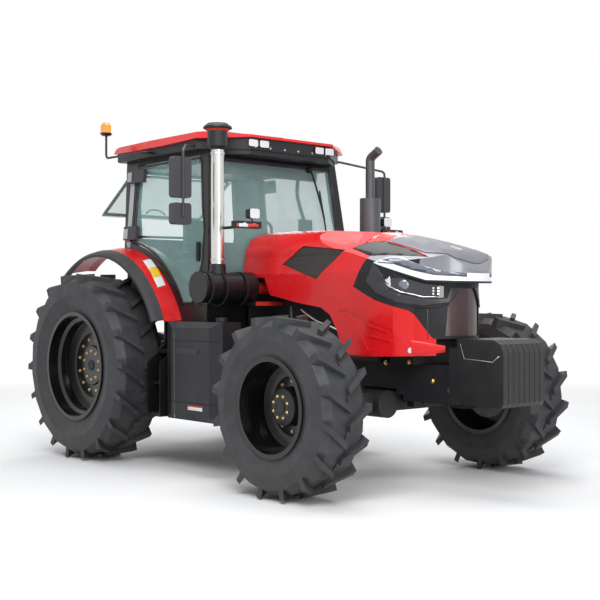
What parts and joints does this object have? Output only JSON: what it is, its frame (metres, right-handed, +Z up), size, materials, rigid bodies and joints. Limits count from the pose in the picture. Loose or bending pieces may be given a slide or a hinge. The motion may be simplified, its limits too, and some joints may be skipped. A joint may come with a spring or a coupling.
{
  "type": "farm tractor",
  "caption": "Four-wheel-drive farm tractor with enclosed cab, tilting hood, front ballast weights and a rear three-point hitch.",
  "frame": {"origin": "on the ground, under the middle of the overall length and width", "axes": "+X towards the tractor's front, +Y towards the driver's left, +Z up"},
  "size_m": [5.2744, 2.81, 3.19],
  "materials": {
    "red_paint": "gloss",
    "black_paint": "satin",
    "cast_grey": "painted satin",
    "link_steel": "satin",
    "ballast": "painted satin",
    "tyre": "matte",
    "wheel_paint": "matte",
    "glass": "clear, pale teal",
    "black_plastic": "matte",
    "rubber": "matte",
    "stainless": "brushed",
    "dark_steel": "heat-darkened",
    "lamp_lens": "gloss",
    "amber": "gloss",
    "seat_fabric": "woven"
  },
  "bodies": {
    "chassis": {"air_cleaner": "black_plastic", "beacon": "amber", "cab_frame": "black_paint", "engine": "cast_grey", "exhaust": "dark_steel", "fenders": "red_paint", "flares": "rubber", "front_axle": "cast_grey", "front_frame": "black_paint", "front_weights": "ballast", "mirrors": "black_plastic", "precleaner": "stainless", "roof": "red_paint", "roof_lining": "black_plastic", "seat": "seat_fabric", "steering": "black_plastic", "steps": "black_paint", "tanks": "black_plastic", "transmission": "cast_grey", "windshield": "glass", "work_lamps": "black_plastic"},
    "hood": {"hood_shell": "red_paint", "hood_mask": "black_plastic", "hood_grilles": "black_plastic", "headlights": "lamp_lens"},
    "door_right": {"door_right": "black_paint", "door_glass_right": "glass"},
    "door_left": {"door_left": "black_paint", "door_glass_left": "glass"},
    "rear_window": {"rear_window": "glass"},
    "rear_wheel_right": {"rear_wheel_right": "wheel_paint", "rear_tyre_right": "tyre"},
    "rear_wheel_left": {"rear_wheel_left": "wheel_paint", "rear_tyre_left": "tyre"},
    "knuckle_right": {"knuckle_right": "cast_grey"},
    "knuckle_left": {"knuckle_left": "cast_grey"},
    "tie_rod": {"tie_rod": "cast_grey"},
    "front_wheel_right": {"front_wheel_right": "wheel_paint", "front_tyre_right": "tyre"},
    "front_wheel_left": {"front_wheel_left": "wheel_paint", "front_tyre_left": "tyre"},
    "lift_arms": {"lift_arms": "link_steel"},
    "lift_rods": {"lift_rods": "link_steel"},
    "lower_links": {"lower_links": "link_steel"},
    "top_link": {"top_link": "link_steel"}
  },
  "joints": [
    {"name": "rear_wheel_right_spin", "type": "hinge", "parent": "chassis", "child": "rear_wheel_right", "pos_m": [-1.51, -1.13, 0.865], "axis": [0, 1, 0], "continuous": true},
    {"name": "rear_wheel_left_spin", "type": "hinge", "parent": "chassis", "child": "rear_wheel_left", "pos_m": [-1.51, 1.13, 0.865], "axis": [0, 1, 0], "continuous": true},
    {"name": "steer_right", "type": "hinge", "parent": "chassis", "child": "knuckle_right", "pos_m": [1.37, -0.915, 0.685], "axis": [0, 0, 1], "range_deg": [-38, 38]},
    {"name": "steer_left", "type": "hinge", "parent": "chassis", "child": "knuckle_left", "pos_m": [1.37, 0.915, 0.685], "axis": [0, 0, 1], "range_deg": [-38, 38]},
    {"name": "tie_rod_pivot", "type": "hinge", "parent": "knuckle_right", "child": "tie_rod", "pos_m": [1.14, -0.915, 0.583], "axis": [0, 0, 1], "range_deg": [-38, 38]},
    {"name": "front_wheel_right_spin", "type": "hinge", "parent": "knuckle_right", "child": "front_wheel_right", "pos_m": [1.37, -1.185, 0.685], "axis": [0, 1, 0], "continuous": true},
    {"name": "front_wheel_left_spin", "type": "hinge", "parent": "knuckle_left", "child": "front_wheel_left", "pos_m": [1.37, 1.185, 0.685], "axis": [0, 1, 0], "continuous": true},
    {"name": "door_right_swing", "type": "hinge", "parent": "chassis", "child": "door_right", "pos_m": [-1.45, -0.81309, 2.35], "axis": [0, -0.089, -0.996], "range_deg": [0, 70]},
    {"name": "door_left_swing", "type": "hinge", "parent": "chassis", "child": "door_left", "pos_m": [-1.45, 0.81309, 2.35], "axis": [0, -0.089, 0.996], "range_deg": [0, 70]},
    {"name": "rear_window_lift", "type": "hinge", "parent": "chassis", "child": "rear_window", "pos_m": [-1.662, 0, 2.745], "axis": [0, 1, 0], "range_deg": [-60, 8]},
    {"name": "hood_lift", "type": "hinge", "parent": "chassis", "child": "hood", "pos_m": [-0.035, 0, 2.03], "axis": [0, -1, 0], "range_deg": [0, 50]},
    {"name": "lift_arms_raise", "type": "hinge", "parent": "chassis", "child": "lift_arms", "pos_m": [-1.845, 0, 1.085], "axis": [0, 1, 0], "range_deg": [-15, 35]},
    {"name": "lift_rods_pivot", "type": "hinge", "parent": "lift_arms", "child": "lift_rods", "pos_m": [-2.2213, 0, 1.03211], "axis": [0, 1, 0], "range_deg": [-35, 15]},
    {"name": "lower_links_raise", "type": "hinge", "parent": "chassis", "child": "lower_links", "pos_m": [-1.71, 0, 0.565], "axis": [0, 1, 0], "range_deg": [-15, 35]},
    {"name": "top_link_swing", "type": "hinge", "parent": "chassis", "child": "top_link", "pos_m": [-1.905, 0, 0.86], "axis": [0, 1, 0], "range_deg": [-15, 30]}
  ],
  "couplings": [
    {"joint": "steer_left", "follows": "steer_right", "ratio": 1},
    {"joint": "tie_rod_pivot", "follows": "steer_right", "ratio": -1},
    {"joint": "lift_rods_pivot", "follows": "lift_arms_raise", "ratio": -1},
    {"joint": "lower_links_raise", "follows": "lift_arms_raise", "ratio": 1}
  ]
}
